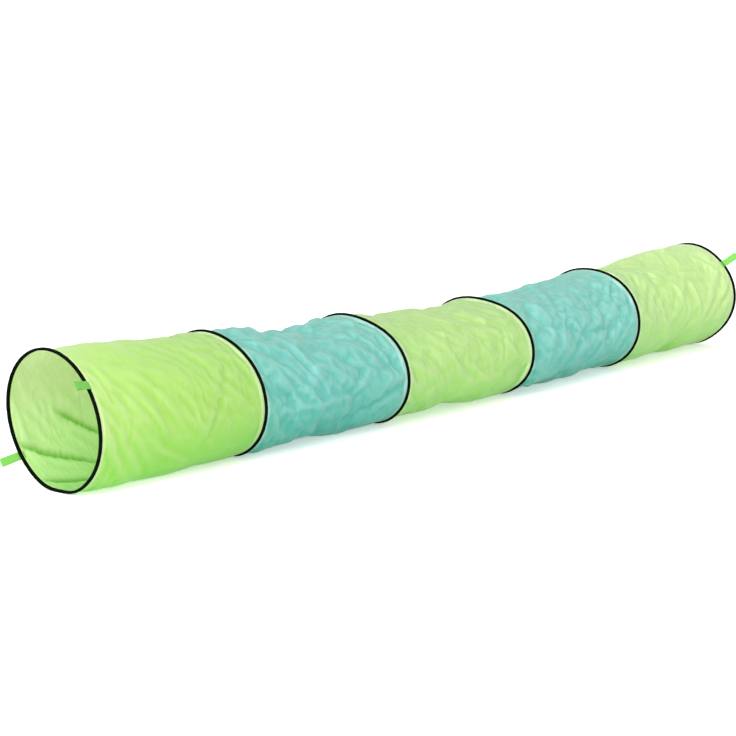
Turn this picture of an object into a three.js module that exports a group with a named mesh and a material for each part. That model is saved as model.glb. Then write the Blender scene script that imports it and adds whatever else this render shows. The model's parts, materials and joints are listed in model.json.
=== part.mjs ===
// Fabric agility tunnel: a crawl-through tube of five sewn cover panels held open by six
// spring-steel hoops, each hoop running inside a folded binding tape that also joins the
// covers, with two webbing loops on each end hoop.  Millimetres, +Z up.
// The tunnel axis is X, hoop 1 (front mouth) is at -X, and z = 0 is the ground it stands on.
// Right and left are as seen looking in at the front mouth: right is -Y, left is +Y.
import * as THREE from "three";
import { ParametricGeometry } from "three/addons/geometries/ParametricGeometry.js";
import { mergeVertices } from "three/addons/utils/BufferGeometryUtils.js";

// ---------------------------------------------------------------- driving dimensions
const HOOP_DIAMETER = 600; // over the binding, when the hoop is a true circle
const PANEL_LENGTH = 1000; // hoop plane to hoop plane
const SIDES = 36; // flats round a hoop

// How each hoop stands once the covers load it: an oval of set length round.
// wide = wider than tall, lean = oval turned over sideways, square = shoulders filled out.
const HOOP_SET = [
  { wide: -0.036, lean: 0.06, square: 0.0 },
  { wide: 0.057, lean: 0.078, square: -0.003 },
  { wide: 0.126, lean: 0.066, square: -0.001 },
  { wide: 0.168, lean: 0.034, square: 0.006 },
  { wide: 0.089, lean: 0.015, square: -0.002 },
  { wide: 0.035, lean: -0.009, square: 0.014 },
];

// "Radial" distances below are measured outward from the middle of the binding's section.
const BINDING_DEPTH = 10; // radial
const BINDING_WIDTH = 14; // along the tunnel
const BINDING_CHAMFER = 2.4;
const CHANNEL_HALF = 3.2; // inside the fold, half width along the tunnel
const CHANNEL_ROOF = 3.6; // radial place of the fold's inside
const HALF_DEPTH = BINDING_DEPTH / 2;
const HALF_WIDTH = BINDING_WIDTH / 2;
const MIDDLE_RADIUS = HOOP_DIAMETER / 2 - HALF_DEPTH;

const WIRE_RADIUS = 1.75;
const WIRE_HEIGHT = 0.6; // radial place of the wire's centre
const WIRE_GAP = 1; // half the gap between the wire's two ends
const WIRE_SIDES = 6;
const FERRULE_LENGTH = 30;
const FERRULE_OUTER = 2.7; // radius to the corners
const FERRULE_BORE = 2.05; // radius to the flats
const FERRULE_SIDES = 10;
const FERRULE_ANGLE = 240; // where the wire ends meet, degrees round the hoop

const FABRIC = 0.5; // cover thickness
const HEM_OFFSET = 1; // hem plane to hoop plane
const HEM_TOP = -2.6; // radial place of the hem's edge inside the fold
const COVER_DROP = 5.5; // cover's outer skin below the section's middle
const GROUND_GAP = 0.8; // cover's outer skin above the ground where it lies
const COVER_BEND = 9; // hoop plane to where the cover starts to draw in
const COVER_EASE = 130; // hoop plane to where it is fully drawn in
const TOP_SAG = [8, 26, 16, 4, 2]; // each cover's hang at mid-length along the top
const FLOOR_SAG = 12; // how far its underside drops towards the ground
const SIDE_WAIST = 6; // how far the cover draws in at its sides
const TOP_WAIST = SIDE_WAIST / 2; // and at its top and bottom

const LOOP_LENGTH = 84;
const LOOP_WIDTH = 38;
const LOOP_TAPE = 1.5; // webbing thickness
const LOOP_ROOT = 1; // webbing starts this far from its hinge line
const LOOP_REACH = 2.2; // hinge line beyond the binding's side
const LOOP_LIFT = 3.6; // hinge line above the binding's outer face
const LOOP_STITCHED_HALF = LOOP_TAPE + 0.1; // half thickness where its ends are stitched
const LOOP_OPEN_X = 0.62 * LOOP_LENGTH;
const LOOP_OPEN_HALF = 3.5;
const LOOP_WIDEST_X = 0.86 * LOOP_LENGTH;
const LOOP_WIDEST_HALF = 3.9;

// Loops: index of the hoop, degrees round it, tilt in degrees outward from the tunnel
// axis, and direction along X away from the tunnel.
const LOOPS = [
  { name: "tie_loop_front_right", hoop: 0, angle: 140, tilt: 10, away: -1 },
  { name: "tie_loop_front_left", hoop: 0, angle: 320, tilt: 25, away: -1 },
  { name: "tie_loop_rear_right", hoop: 5, angle: 140, tilt: 50, away: 1 },
  { name: "tie_loop_rear_left", hoop: 5, angle: 320, tilt: 10, away: 1 },
];

// ---------------------------------------------------------------- materials
const material = (color, { roughness, metalness = 0 }) =>
  new THREE.MeshStandardMaterial({ color, roughness, metalness });
const MATERIALS = {
  greenCover: material(0xabe673, { roughness: 0.55 }),
  tealCover: material(0x68ccbb, { roughness: 0.5 }),
  binding: material(0x14201a, { roughness: 0.75 }),
  webbing: material(0x6fce4e, { roughness: 0.7 }),
  wire: material(0x9aa0a6, { roughness: 0.35, metalness: 1 }),
  ferrule: material(0xb9bcc0, { roughness: 0.4, metalness: 1 }),
};

// ---------------------------------------------------------------- hoop outlines
// Points in a hoop's plane are Vector2s whose x holds Y and whose y holds Z.
const perimeter = (points) =>
  points.reduce((sum, point, k) => sum + point.distanceTo(points[(k + 1) % points.length]), 0);

// Corners of the oval, turning from +Y towards +Z, scaled to the hoop's length round.
function ovalPoints({ wide, lean, square }) {
  const points = [];
  for (let k = 0; k < SIDES; k++) {
    const angle = ((k + 0.5) / SIDES) * 2 * Math.PI;
    const radius =
      1 +
      wide * Math.cos(2 * angle) +
      lean * Math.sin(2 * angle) +
      square * Math.cos(4 * angle);
    points.push(new THREE.Vector2(radius * Math.cos(angle), radius * Math.sin(angle)));
  }
  const scale = (2 * Math.PI * MIDDLE_RADIUS) / perimeter(points);
  points.forEach((point) => point.multiplyScalar(scale));
  return points;
}

// Centres the outline across Y and lays its lowest flat level, binding on the ground.
function standOnGround(points) {
  const next = (k) => points[(k + 1) % SIDES];
  let foot = 0;
  points.forEach((point, k) => {
    if (point.y + next(k).y < points[foot].y + next(foot).y) foot = k;
  });
  const level = Math.max(points[foot].y, next(foot).y);
  const across = points.map((point) => point.x);
  const centre = (Math.min(...across) + Math.max(...across)) / 2;
  points.forEach((point) => {
    point.y = Math.max(point.y, level) - level + HALF_DEPTH;
    point.x -= centre;
  });
}

// Corners along the middle line of the binding's section.  A corner's `outward` is long
// enough to offset both its flats evenly; `flatOutward` is the unit normal of the flat
// that follows it.
function hoopOutline(shape) {
  const points = ovalPoints(shape);
  standOnGround(points);
  const flats = points.map((point, k) => {
    const along = points[(k + 1) % SIDES].clone().sub(point).normalize();
    return new THREE.Vector2(along.y, -along.x);
  });
  return points.map((middle, k) => {
    const outward = flats[(k + SIDES - 1) % SIDES].clone().add(flats[k]).normalize();
    outward.multiplyScalar(1 / outward.dot(flats[k]));
    return { middle, outward, flatOutward: flats[k] };
  });
}
const hoops = HOOP_SET.map(hoopOutline);
const hoopX = (i) => (i - (hoops.length - 1) / 2) * PANEL_LENGTH;

// The point at x along the tunnel, offset radially from a corner or a flat's middle.
const offsetPoint = (x, { middle, outward }, radial) =>
  new THREE.Vector3(x, middle.x + outward.x * radial, middle.y + outward.y * radial);

// The flat of a hoop that lies at this many degrees round it, and its frame.
function flatAt(hoop, degrees) {
  const k = (Math.floor((degrees / 360) * SIDES - 0.5) + SIDES) % SIDES;
  const start = hoop[k].middle;
  const end = hoop[(k + 1) % SIDES].middle;
  return {
    k,
    middle: start.clone().add(end).multiplyScalar(0.5),
    along: end.clone().sub(start).normalize(),
    outward: hoop[k].flatOutward,
  };
}

// ---------------------------------------------------------------- shared builders
// A closed skin through a grid of points: pointAt(i, j) goes round the section with i and
// along the sweep with j, where j = 0 and j = rows meet or are each drawn in to a point.
// Each cell is cut in two from its near corner to its far one, or the other way where
// crossed(i) says so, so that the two sides of a thin wall can be cut alike.
function skin(pointAt, columns, rows, crossed = () => false) {
  const geometry = new ParametricGeometry(
    (u, v, target) =>
      target.copy(pointAt(Math.round(u * columns) % columns, Math.round(v * rows))),
    columns,
    rows,
  );
  const index = geometry.index.array;
  for (let cell = 0; cell < columns * rows; cell++) {
    if (!crossed(cell % columns)) continue;
    const [a, b, d, , c] = index.slice(6 * cell, 6 * cell + 5);
    index.set([a, b, c, a, c, d], 6 * cell);
  }
  geometry.deleteAttribute("normal");
  geometry.deleteAttribute("uv");
  return mergeVertices(geometry, 1e-4);
}

const extrude = (shape, depth) =>
  new THREE.ExtrudeGeometry(shape, { depth, bevelEnabled: false });

// Turns an object so its x runs along the tunnel (direction 1 or -1) and its y outward.
function orientOnFlat(object, direction, outward) {
  const xAxis = new THREE.Vector3(direction, 0, 0);
  const yAxis = new THREE.Vector3(0, outward.x, outward.y);
  const zAxis = new THREE.Vector3().crossVectors(xAxis, yAxis);
  object.setRotationFromMatrix(new THREE.Matrix4().makeBasis(xAxis, yAxis, zAxis));
}

const tunnel = new THREE.Group();
function addMesh(name, geometry, look, parent = tunnel) {
  const mesh = new THREE.Mesh(geometry, look);
  mesh.name = name;
  parent.add(mesh);
  return mesh;
}

// ---------------------------------------------------------------- hoops
// Folded tape as (along the tunnel, radial): chamfered outer corners, open towards the axis.
const BINDING_SECTION = [
  [-HALF_WIDTH, -HALF_DEPTH],
  [-CHANNEL_HALF, -HALF_DEPTH],
  [-CHANNEL_HALF, CHANNEL_ROOF],
  [CHANNEL_HALF, CHANNEL_ROOF],
  [CHANNEL_HALF, -HALF_DEPTH],
  [HALF_WIDTH, -HALF_DEPTH],
  [HALF_WIDTH, HALF_DEPTH - BINDING_CHAMFER],
  [HALF_WIDTH - BINDING_CHAMFER, HALF_DEPTH],
  [-HALF_WIDTH + BINDING_CHAMFER, HALF_DEPTH],
  [-HALF_WIDTH, HALF_DEPTH - BINDING_CHAMFER],
];

function bindingGeometry(hoop, x) {
  const pointAt = (column, row) => {
    const [along, radial] = BINDING_SECTION[column];
    return offsetPoint(x + along, hoop[row % SIDES], radial);
  };
  return skin(pointAt, BINDING_SECTION.length, SIDES);
}

// A round rod bent round the hoop, its ends meeting inside the ferrule.
function wireGeometry(hoop, x, { k, middle, along, outward }) {
  const endAt = (gap) => ({ middle: middle.clone().addScaledVector(along, gap), outward });
  const start = endAt(WIRE_GAP);
  const finish = endAt(-WIRE_GAP);
  const corners = hoop.map((_, j) => hoop[(k + 1 + j) % SIDES]);
  // each end comes twice: once drawn in to a point, once at full radius
  const stations = [start, start, ...corners, finish, finish];
  const rows = stations.length - 1;
  const pointAt = (column, row) => {
    const angle = (column / WIRE_SIDES) * 2 * Math.PI;
    const radius = row === 0 || row === rows ? 0 : WIRE_RADIUS;
    const radial = WIRE_HEIGHT + radius * Math.sin(angle);
    return offsetPoint(x + radius * Math.cos(angle), stations[row], radial);
  };
  return skin(pointAt, WIRE_SIDES, rows);
}

// Corners of the ferrule's polygon; turn is 1 or -1 for the way round.
const ferrulePoints = (radius, turn) =>
  Array.from({ length: FERRULE_SIDES }, (_, j) => {
    const angle = turn * (j / FERRULE_SIDES) * 2 * Math.PI;
    return new THREE.Vector2(radius * Math.cos(angle), radius * Math.sin(angle));
  });

// Crimped tube over both wire ends; its own z runs along the flat.
function addFerrule(name, x, flat) {
  const tube = new THREE.Shape(ferrulePoints(FERRULE_OUTER, 1));
  const boreCorner = FERRULE_BORE / Math.cos(Math.PI / FERRULE_SIDES);
  tube.holes.push(new THREE.Path(ferrulePoints(boreCorner, -1)));
  const ferrule = addMesh(name, extrude(tube, FERRULE_LENGTH), MATERIALS.ferrule);
  orientOnFlat(ferrule, 1, flat.outward);
  ferrule.position
    .copy(offsetPoint(x, flat, WIRE_HEIGHT))
    .addScaledVector(new THREE.Vector3(0, flat.along.x, flat.along.y), -FERRULE_LENGTH / 2);
}

hoops.forEach((hoop, i) => {
  const x = hoopX(i);
  const flat = flatAt(hoop, FERRULE_ANGLE);
  addMesh(`hoop_binding_${i + 1}`, bindingGeometry(hoop, x), MATERIALS.binding);
  addMesh(`hoop_wire_${i + 1}`, wireGeometry(hoop, x, flat), MATERIALS.wire);
  addFerrule(`hoop_ferrule_${i + 1}`, x, flat);
});

// ---------------------------------------------------------------- cover panels
const COVER_STATIONS = [
  HEM_OFFSET,
  COVER_BEND,
  COVER_EASE,
  PANEL_LENGTH / 2,
  PANEL_LENGTH - COVER_EASE,
  PANEL_LENGTH - COVER_BEND,
  PANEL_LENGTH - HEM_OFFSET,
];
const HEM_START = HEM_OFFSET + FABRIC; // inner faces of the two hems
const HEM_END = PANEL_LENGTH - HEM_OFFSET - FABRIC;

// Round the fabric's thickness: inner skin, far hem, outer skin back again, near hem.
// x is from the panel's first hoop; ground is the lowest z a drawn-in point may take.
const COVER_SECTION = [
  ...COVER_STATIONS.map((x) => ({
    x,
    radial: -COVER_DROP - FABRIC,
    ground: GROUND_GAP + FABRIC,
  })),
  { x: PANEL_LENGTH - HEM_OFFSET, radial: HEM_TOP },
  { x: HEM_END, radial: HEM_TOP },
  ...COVER_STATIONS.map((x) => ({
    x: Math.min(Math.max(x, HEM_START), HEM_END),
    radial: -COVER_DROP,
    ground: GROUND_GAP,
  })).reverse(),
  { x: HEM_START, radial: HEM_TOP },
  { x: HEM_OFFSET, radial: HEM_TOP },
];
const onOuterSkin = (column) =>
  column > COVER_STATIONS.length && column < COVER_SECTION.length - 2;

// A sewn tube between two hoops.  Both ends turn outward as a hem that stands inside the
// fold of the binding; between them the tube draws in a little and sags.
function coverGeometry(i) {
  const pointAt = (column, row) => {
    const { x, radial, ground } = COVER_SECTION[column];
    const share = x / PANEL_LENGTH;
    const near = hoops[i][row % SIDES];
    const far = hoops[i + 1][row % SIDES];
    const middle = near.middle.clone().lerp(far.middle, share);
    const outward = near.outward.clone().lerp(far.outward, share);
    const point = offsetPoint(hoopX(i) + x, { middle, outward }, radial);
    if (x >= COVER_EASE && x <= PANEL_LENGTH - COVER_EASE) {
      const sag = outward.y > 0 ? TOP_SAG[i] * Math.sin(Math.PI * share) : FLOOR_SAG;
      point.y -= outward.x * SIDE_WAIST;
      point.z -= outward.y * TOP_WAIST + outward.y * outward.y * sag;
      point.z = Math.max(point.z, ground);
    }
    return point;
  };
  return skin(pointAt, COVER_SECTION.length, SIDES, onOuterSkin);
}

for (let i = 0; i < hoops.length - 1; i++) {
  const look = i % 2 ? MATERIALS.tealCover : MATERIALS.greenCover;
  addMesh(`cover_panel_${i + 1}`, coverGeometry(i), look);
}

// ---------------------------------------------------------------- tie loops
// Webbing folded back on itself, its two ends stitched together at the hoop.
// Upper halves of the outlines as (x away from the hoop, half height).
const LOOP_OUTSIDE = [
  [LOOP_ROOT, LOOP_STITCHED_HALF],
  [0.32 * LOOP_LENGTH, LOOP_STITCHED_HALF],
  [LOOP_OPEN_X, LOOP_OPEN_HALF],
  [LOOP_WIDEST_X, LOOP_WIDEST_HALF],
  [0.96 * LOOP_LENGTH, 2.8],
];
const LOOP_INSIDE = [
  [LOOP_OPEN_X, LOOP_OPEN_HALF - LOOP_TAPE],
  [LOOP_WIDEST_X, LOOP_WIDEST_HALF - LOOP_TAPE],
  [0.945 * LOOP_LENGTH, 1.4],
];

function closedPath(PathType, pairs) {
  const path = new PathType(pairs.map(([x, y]) => new THREE.Vector2(x, y)));
  path.closePath();
  return path;
}

function loopGeometry() {
  const lower = (pairs) => pairs.map(([x, y]) => [x, -y]);
  const shape = closedPath(THREE.Shape, [
    ...lower(LOOP_OUTSIDE),
    [LOOP_LENGTH, 0],
    ...LOOP_OUTSIDE.toReversed(),
  ]);
  const eye = closedPath(THREE.Path, [
    [0.36 * LOOP_LENGTH, 0],
    ...LOOP_INSIDE,
    [LOOP_LENGTH - LOOP_TAPE, 0],
    ...lower(LOOP_INSIDE).reverse(),
  ]);
  shape.holes.push(eye);
  return extrude(shape, LOOP_WIDTH).translate(0, 0, -LOOP_WIDTH / 2);
}

for (const { name, hoop, angle, tilt, away } of LOOPS) {
  const flat = flatAt(hoops[hoop], angle);
  const hinge = new THREE.Group(); // on the hinge line, x away from the tunnel
  orientOnFlat(hinge, away, flat.outward);
  const hingeX = hoopX(hoop) + away * (HALF_WIDTH + LOOP_REACH);
  hinge.position.copy(offsetPoint(hingeX, flat, HALF_DEPTH + LOOP_LIFT));
  tunnel.add(hinge);
  const loop = addMesh(name, loopGeometry(), MATERIALS.webbing, hinge);
  loop.rotation.z = THREE.MathUtils.degToRad(tilt);
}

export default tunnel;
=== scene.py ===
"""Looks of the fabric agility tunnel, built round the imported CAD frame.  Metres, +Z up.

The tunnel lies along X and rests on z = 0: six hoops, 1 m apart, joined by five cloth covers.
Each cover is a sewn tube pinned to its two hoops, with a little more cloth than the span
needs, relaxed under gravity with its creases, then given its seams.  Angles round a hoop
start at +Y and turn towards +Z, so 90 degrees is the top and 270 the ground.
"""
import json
import math

import bpy
import numpy as np
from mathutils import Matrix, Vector

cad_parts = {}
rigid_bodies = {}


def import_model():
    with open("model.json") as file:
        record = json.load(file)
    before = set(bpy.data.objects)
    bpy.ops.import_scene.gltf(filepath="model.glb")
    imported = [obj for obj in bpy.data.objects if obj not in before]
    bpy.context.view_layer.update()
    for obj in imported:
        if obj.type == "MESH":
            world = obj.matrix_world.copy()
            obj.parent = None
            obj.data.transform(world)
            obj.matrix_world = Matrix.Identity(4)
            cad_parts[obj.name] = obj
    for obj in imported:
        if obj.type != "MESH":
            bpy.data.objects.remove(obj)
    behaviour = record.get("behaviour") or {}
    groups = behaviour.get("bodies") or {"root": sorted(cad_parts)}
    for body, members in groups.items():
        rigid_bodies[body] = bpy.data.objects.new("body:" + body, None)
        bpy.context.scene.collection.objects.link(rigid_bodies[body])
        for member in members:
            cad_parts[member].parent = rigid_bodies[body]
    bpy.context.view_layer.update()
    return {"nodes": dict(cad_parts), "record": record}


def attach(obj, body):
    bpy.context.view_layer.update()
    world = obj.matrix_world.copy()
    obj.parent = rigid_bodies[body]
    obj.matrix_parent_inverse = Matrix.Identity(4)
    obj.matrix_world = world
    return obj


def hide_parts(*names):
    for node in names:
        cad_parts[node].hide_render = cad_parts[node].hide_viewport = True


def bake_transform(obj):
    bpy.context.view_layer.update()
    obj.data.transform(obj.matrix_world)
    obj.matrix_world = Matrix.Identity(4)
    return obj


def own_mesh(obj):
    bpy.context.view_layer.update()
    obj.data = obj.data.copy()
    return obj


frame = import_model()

TAU = 2 * math.pi
JOINTS = frame["record"]["behaviour"]["joints"]

# ------------------------------------------------------------------ sizes, as in the CAD
MID_RADIUS = 0.295  # middle of the binding's section on a round hoop
BINDING_HALF_DEPTH = 0.005
SIDES = 36
HOOPS = [  # wide, lean, square: how each hoop's oval stands
    (-0.036, 0.06, 0.0),
    (0.057, 0.078, -0.003),
    (0.126, 0.066, -0.001),
    (0.168, 0.034, 0.006),
    (0.089, 0.015, -0.002),
    (0.035, -0.009, 0.014),
]
SPAN = 1.0
hoop_x = [(i - (len(HOOPS) - 1) / 2) * SPAN for i in range(len(HOOPS))]
FLOOR = 0.0008  # lowest height of the middle of the cloth

# how a hoop settles on the ground
LINE_POINTS = 2880
SETTLE_SOFTNESS = 0.006
SETTLE_FADE = 0.04
SETTLE_TOP = 0.15  # above this the oval is untouched
NORMAL_REACH = 0.004  # half length over which a hoop's direction is taken


class Hoop:
    """The smooth middle line of one hoop's binding, by arc length round it."""

    def __init__(self, wide, lean, square):
        def oval(angle):
            radius = (1 + wide * np.cos(2 * angle) + lean * np.sin(2 * angle)
                      + square * np.cos(4 * angle))
            return np.stack([radius * np.cos(angle), radius * np.sin(angle)], 1)

        corners = oval((np.arange(SIDES) + 0.5) / SIDES * TAU)
        sides = np.linalg.norm(np.roll(corners, -1, 0) - corners, axis=1)
        scale = TAU * MID_RADIUS / sides.sum()
        corners = corners * scale
        lowest = int(np.argmin(corners[:, 1] + np.roll(corners, -1, 0)[:, 1]))
        level = max(corners[lowest, 1], corners[(lowest + 1) % SIDES, 1])
        middle = (corners[:, 0].min() + corners[:, 0].max()) / 2
        angles = np.arange(LINE_POINTS) / LINE_POINTS * TAU
        line = oval(angles) * scale
        # it settles on the ground over a short length, rounding into the rest of the oval
        rise = line[:, 1] - level
        soft = SETTLE_SOFTNESS * np.log1p(np.exp(np.clip(rise / SETTLE_SOFTNESS, -30, 30)))
        soft = np.where(rise > SETTLE_TOP, rise, soft)
        line[:, 1] = soft - soft.min() * np.exp(-((rise / SETTLE_FADE) ** 2)) + BINDING_HALF_DEPTH
        line[:, 0] -= middle
        steps = np.linalg.norm(np.roll(line, -1, 0) - line, axis=1)
        self.angles = np.append(angles, TAU)
        self.line = np.vstack([line, line[:1]])
        self.run = np.concatenate([[0], np.cumsum(steps)])
        self.length = self.run[-1]

    def on_line(self, run):
        run = np.mod(run, self.length)
        return np.stack([np.interp(run, self.run, self.line[:, k]) for k in (0, 1)], -1)

    def at(self, run, out=0.0):
        """(y, z) points at arc lengths, moved outward, and the outward normals there."""
        run = np.mod(np.asarray(run, float), self.length)
        tangent = self.on_line(run + NORMAL_REACH) - self.on_line(run - NORMAL_REACH)
        tangent /= np.linalg.norm(tangent, axis=-1, keepdims=True)
        normal = np.stack([tangent[..., 1], -tangent[..., 0]], -1)
        return self.on_line(run) + normal * np.asarray(out)[..., None], normal

    def arc(self, degrees):
        """Arc length at this many degrees round the hoop."""
        return float(np.interp(math.radians(degrees % 360), self.angles, self.run))

    def degrees(self, run):
        return np.degrees(np.interp(np.mod(run, self.length), self.run, self.angles))


hoops = [Hoop(*shape) for shape in HOOPS]


# ------------------------------------------------------------------ mesh building
def unit(vectors):
    return vectors / (np.linalg.norm(vectors, axis=-1, keepdims=True) + 1e-12)


def make_object(name, verts, faces, material, smooth=True, uv=None, attributes=None):
    """One mesh object from arrays: verts (n,3), quads or triangles (m,4|3)."""
    verts = np.ascontiguousarray(verts, np.float32)
    faces = np.ascontiguousarray(faces, np.int32)
    mesh = bpy.data.meshes.new(name)
    mesh.vertices.add(len(verts))
    mesh.vertices.foreach_set("co", verts.ravel())
    count, corners = faces.shape
    mesh.loops.add(count * corners)
    mesh.loops.foreach_set("vertex_index", faces.ravel())
    mesh.polygons.add(count)
    mesh.polygons.foreach_set("loop_start", np.arange(count, dtype=np.int32) * corners)
    mesh.polygons.foreach_set("loop_total", np.full(count, corners, np.int32))
    mesh.update(calc_edges=True)
    mesh.polygons.foreach_set("use_smooth", np.full(count, smooth, bool))
    if uv is not None:
        layer = mesh.uv_layers.new(name="cloth")
        layer.data.foreach_set("uv", np.ascontiguousarray(uv, np.float32).ravel())
    for key, values in (attributes or {}).items():
        attribute = mesh.attributes.new(key, "FLOAT", "POINT")
        values = np.ascontiguousarray(values, np.float32)
        attribute.data.foreach_set("value", values.ravel())
    mesh.validate()
    mesh.update()
    obj = bpy.data.objects.new(name, mesh)
    bpy.context.scene.collection.objects.link(obj)
    mesh.materials.append(material)
    return obj


def outward(verts, faces, uv=None):
    """Turns the faces round if the solid they close is inside out."""
    first, second, third = (verts[faces[:, k]] for k in range(3))
    volume = (np.cross(first, second) * third).sum()
    if faces.shape[1] == 4:
        volume += (np.cross(first, third) * verts[faces[:, 3]]).sum()
    if volume < 0:
        faces = faces[:, ::-1]
        uv = uv[:, ::-1] if uv is not None else None
    return faces, uv


def quad_grid(points, across, along):
    """Quads over points[row, column], with UVs (across[column], along[row]).

    One value more than there are columns or rows closes the grid on itself that way.
    """
    rows, columns = points.shape[:2]
    row, column = np.meshgrid(np.arange(len(along) - 1), np.arange(len(across) - 1), indexing="ij")
    corners = ((row, column), (row, column + 1), (row + 1, column + 1), (row + 1, column))
    faces = np.stack([r % rows * columns + c % columns for r, c in corners], -1)
    uv = np.stack([np.stack([across[c], along[r]], -1) for r, c in corners], 2)
    return faces.reshape(-1, 4), uv.reshape(-1, 4, 2)


def cap_quads(ring, turn):
    """Quads over a flat ring of point numbers, from one end to the other."""
    count = len(ring)
    quads = [(ring[t], ring[t + 1], ring[count - 2 - t], ring[count - 1 - t])
             for t in range(count // 2 - 1)]
    return np.array(quads)[:, ::turn]


def capped_strip(points, across, along):
    """Faces and UVs of a grid closed one way, with flat caps over its two open ends."""
    faces, uv = quad_grid(points, across, along)
    numbers, turn = np.arange(points.shape[0] * points.shape[1]).reshape(points.shape[:2]), 1
    if len(across) == points.shape[1]:
        numbers, turn = numbers.T, -1
    caps = np.concatenate([cap_quads(numbers[0], -turn), cap_quads(numbers[-1], turn)])
    faces = np.concatenate([faces, caps])
    uv = np.concatenate([uv, np.zeros((len(caps), 4, 2))])
    return outward(points.reshape(-1, 3), faces, uv)


# ------------------------------------------------------------------ cloth covers: design
COLUMNS, ROWS = 72, 41  # first, coarse pass; each later pass doubles both
EDGE = 0.0095  # the cloth is held flat by the binding up to here
COVER_OUT = -0.00575  # middle of the cloth, from the binding's middle line
ROUND = TAU * (MID_RADIUS + COVER_OUT) / 360  # metres of cloth for each degree round
DAMPING = 0.9

PASSES = [  # crease patch size m, steps, solver rounds, gravity m a step, bending, spare cloth
    (0.22, 26, 5, 2.4e-5, 0.2, 0.0015),
    (0.11, 12, 4, 1.2e-5, 0.1, 0.001),
    (0.05, 4, 3, 4e-6, 0.06, 0.0005),
]

# Folds are (share along, degrees) at one end, the same at the other, height mm, width mm.
# These, low on the +Y wall by the first mouth, are also painted as shade in the lining (the fold
# shade).
MOUTH_FOLDS = [(0.0, 331, 0.40, 296, 14, 19), (0.28, 356, 0.52, 326, 11, 17),
               (0.03, 289, 0.28, 278, 10, 17)]
# top, under: how far each cover stands out (+) or in (-) along its top and its underside,
#   in mm, at shares 0.1 ... 0.9 of its length
# crumple: slope of the creases in each pass;  gather: height in m of the gathers at the hoops
# swells: share along, degrees, height mm, half length mm, half round mm, turn in degrees
COVERS = [
    dict(
        top=(-3, 4, 18, 1, 9, -5, 4, -4, 6),
        under=(14, 17, 8, 13, 14, 11, 5, 6, 3),
        crumple=(0.012, 0.028, 0.03), gather=0.0015, seed=11,
        swells=[(0.55, 150, 5, 220, 90, 25), (0.2, 150, -4, 90, 110, 0)],
        folds=[(0.085, 120, 0.115, 168, -7, 15), (0.20, 172, 0.17, 206, -5, 13),
               (0.27, 160, 0.40, 197, 6, 15), (0.60, 216, 0.87, 128, -6, 20),
               (0.45, 98, 0.62, 128, -3, 22), (0.55, 165, 0.60, 195, 4, 14),
               (0.33, 205, 0.55, 222, 4, 16), (0.75, 90, 0.9, 118, 3, 20)] + MOUTH_FOLDS,
    ),
    dict(
        top=(-4, 17, -15, -48, -38, -55, -27, -26, -21),
        under=(14, -9, -14, -26, -17, -4, 8, 1, 1),
        crumple=(0.035, 0.075, 0.125), gather=0.004, seed=12,
        swells=[(0.38, 168, 12, 260, 60, 4), (0.42, 212, -12, 260, 55, 4),
                (0.75, 150, 8, 90, 120, 0)],
        folds=[(0.29, 122, 0.37, 176, -9, 16), (0.12, 192, 0.60, 188, 9, 18),
               (0.6, 188, 0.74, 168, 7, 16), (0.08, 110, 0.3, 140, 6, 16),
               (0.62, 110, 0.78, 150, -6, 13), (0.8, 120, 0.93, 180, 6, 13),
               (0.5, 100, 0.66, 118, 6, 16), (0.68, 205, 0.9, 190, -6, 14),
               (0.14, 150, 0.24, 178, -6, 12)],
    ),
    dict(
        top=(6, -21, -31, -17, -4, -24, -36, -19, -20),
        under=(-13, -8, -11, -29, -22, -9, 4, 1, 4),
        crumple=(0.02, 0.065, 0.07), gather=0.003, seed=13,
        swells=[],
        folds=[(0.28, 138, 0.42, 162, -5, 12), (0.31, 162, 0.40, 140, 5, 11),
               (0.74, 150, 0.87, 178, 5, 12), (0.82, 150, 0.76, 184, -5, 11),
               (0.5, 105, 0.62, 140, 4, 16), (0.12, 120, 0.3, 118, 4, 16),
               (0.48, 180, 0.66, 200, 5, 14)],
    ),
    dict(
        top=(-29, -17, -23, -19, -13, -19, -6, -23, -19),
        under=(-12, -8, 1, 17, -1, 2, -14, -20, -4),
        crumple=(0.03, 0.08, 0.125), gather=0.005, seed=14,
        swells=[],
        folds=[(0.55, 65, 0.30, 150, 9, 17), (0.30, 140, 0.46, 172, 7, 12),
               (0.31, 172, 0.45, 140, -6, 12), (0.45, 174, 0.86, 178, -8, 17),
               (0.78, 95, 0.92, 140, 7, 14), (0.84, 150, 0.95, 128, -6, 12),
               (0.1, 150, 0.26, 176, 6, 13), (0.6, 120, 0.75, 150, -5, 14)],
    ),
    dict(
        top=(-12, -21, -14, 3, 7, 19, 16, 4, 21),
        under=(5, 3, -2, -11, -24, 5, -4, -2, -2),
        crumple=(0.02, 0.06, 0.07), gather=0.004, seed=15,
        swells=[],
        folds=[(0.44, 146, 0.47, 182, 8, 13), (0.59, 148, 0.63, 192, 8, 13),
               (0.56, 139, 0.73, 142, 6, 12), (0.8, 120, 0.93, 158, 6, 13),
               (0.84, 185, 0.95, 168, -6, 13), (0.2, 110, 0.34, 136, -5, 16),
               (0.25, 170, 0.3, 205, 5, 15)],
    ),
]


# ------------------------------------------------------------------ cloth covers: relief
def ease(x, start, end):
    t = np.clip((x - start) / (end - start), 0, 1)
    return t * t * (3 - 2 * t)


def apart(degrees, start):
    """Degrees from one angle to another, the short way, -180 to 180."""
    return np.mod(degrees - start + 180, 360) - 180


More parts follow.
